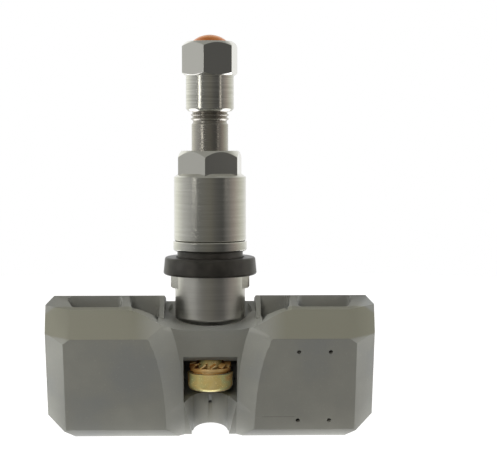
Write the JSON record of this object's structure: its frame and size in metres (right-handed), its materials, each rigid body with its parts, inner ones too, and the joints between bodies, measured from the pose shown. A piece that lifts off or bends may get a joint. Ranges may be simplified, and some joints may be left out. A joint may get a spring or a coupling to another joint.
{
  "type": "tyre pressure sensor",
  "caption": "Clamp-in tyre pressure sensor: metal valve stem with cap, collar nut and rim seal, and a winged moulded housing that tilts on the stem's ball foot.",
  "frame": {"origin": "on the stem axis, in the plane where the rim seal's flange meets the inside of the rim", "axes": "+Z along the valve stem towards the cap, -Y towards the side with the screw's window, +X across the housing, to the right in a view of that side"},
  "size_m": [0.0656, 0.0248, 0.081],
  "materials": {
    "cap_alloy": "satin, turned",
    "cap_copper": "gloss, copper coloured",
    "stem_alloy": "satin, nickel plated",
    "nut_alloy": "satin, nickel plated",
    "zinc_steel": "yellow zinc plated",
    "zinc_washer": "yellow zinc plated",
    "core_brass": "turned",
    "gasket_rubber": "smooth",
    "seal_rubber": "matte",
    "spring_steel": "drawn wire",
    "housing_nylon": "glass filled, fine grain",
    "cover_nylon": "glass filled, fine grain",
    "board_green": "solder mask",
    "cell_steel": "nickel plated",
    "tab_nickel": "nickel strip",
    "package_black": "moulded",
    "port_silicone": "matte",
    "crystal_can": "satin",
    "ferrite": "matte",
    "copper_wire": "enamelled",
    "aerial_bronze": "tinned strip",
    "ceramic": "fired"
  },
  "bodies": {
    "stem": {"valve_stem": "stem_alloy", "core_barrel": "core_brass", "core_gasket": "gasket_rubber", "core_spring": "spring_steel", "rim_seal": "seal_rubber"},
    "core_pin": {"core_pin": "core_brass", "core_seat": "seal_rubber"},
    "cap_seal": {"cap_seal": "seal_rubber"},
    "cap": {"cap_shell": "cap_alloy", "cap_plug": "cap_copper"},
    "nut_washer": {"nut_washer": "nut_alloy"},
    "collar_nut": {"collar_nut": "nut_alloy"},
    "washers": {"spring_washer": "zinc_washer", "lock_washer": "zinc_washer"},
    "fixing_screw": {"fixing_screw": "zinc_steel"},
    "housing": {"housing": "housing_nylon", "back_cover": "cover_nylon", "circuit_board": "board_green", "coin_cell": "cell_steel", "battery_tab_plus": "tab_nickel", "battery_tab_minus": "tab_nickel", "pressure_sensor": "package_black", "port_seal": "port_silicone", "controller_chip": "package_black", "crystal": "crystal_can", "coil_core": "ferrite", "coil_winding": "copper_wire", "aerial": "aerial_bronze", "capacitors": "ceramic"}
  },
  "joints": [
    {"name": "core_press", "type": "slide", "parent": "stem", "child": "core_pin", "axis": [0, 0, -1], "range_m": [0, 0.0012], "stiffness_N_per_m": 1500, "springref_m": -0.002, "deforming": ["core_spring"]},
    {"name": "cap_travel", "type": "slide", "parent": "stem", "child": "cap_seal", "axis": [0, 0, 1], "range_m": [0, 0.00695]},
    {"name": "cap_turn", "type": "hinge", "parent": "cap_seal", "child": "cap", "pos_m": [0, 0, 0.03], "axis": [0, 0, 1], "range_deg": [0, 3156]},
    {"name": "nut_travel", "type": "slide", "parent": "stem", "child": "nut_washer", "axis": [0, 0, 1], "range_m": [0, 0.0075]},
    {"name": "nut_turn", "type": "hinge", "parent": "nut_washer", "child": "collar_nut", "pos_m": [0, 0, 0.01], "axis": [0, 0, 1], "range_deg": [0, 2706]},
    {"name": "screw_travel", "type": "slide", "parent": "stem", "child": "washers", "axis": [0, 0, -1], "range_m": [0, 0.0008]},
    {"name": "screw_turn", "type": "hinge", "parent": "washers", "child": "fixing_screw", "pos_m": [0, 0, -0.02], "axis": [0, 0, -1], "range_deg": [0, 363]},
    {"name": "housing_tilt", "type": "hinge", "parent": "stem", "child": "housing", "pos_m": [0, 0, -0.006], "axis": [1, 0, 0], "range_deg": [-8, 8]}
  ],
  "couplings": [
    {"joint": "cap_turn", "follows": "cap_travel", "rad_per_m": 7913.3},
    {"joint": "nut_turn", "follows": "nut_travel", "rad_per_m": 6283.2},
    {"joint": "screw_turn", "follows": "screw_travel", "rad_per_m": 7854}
  ]
}
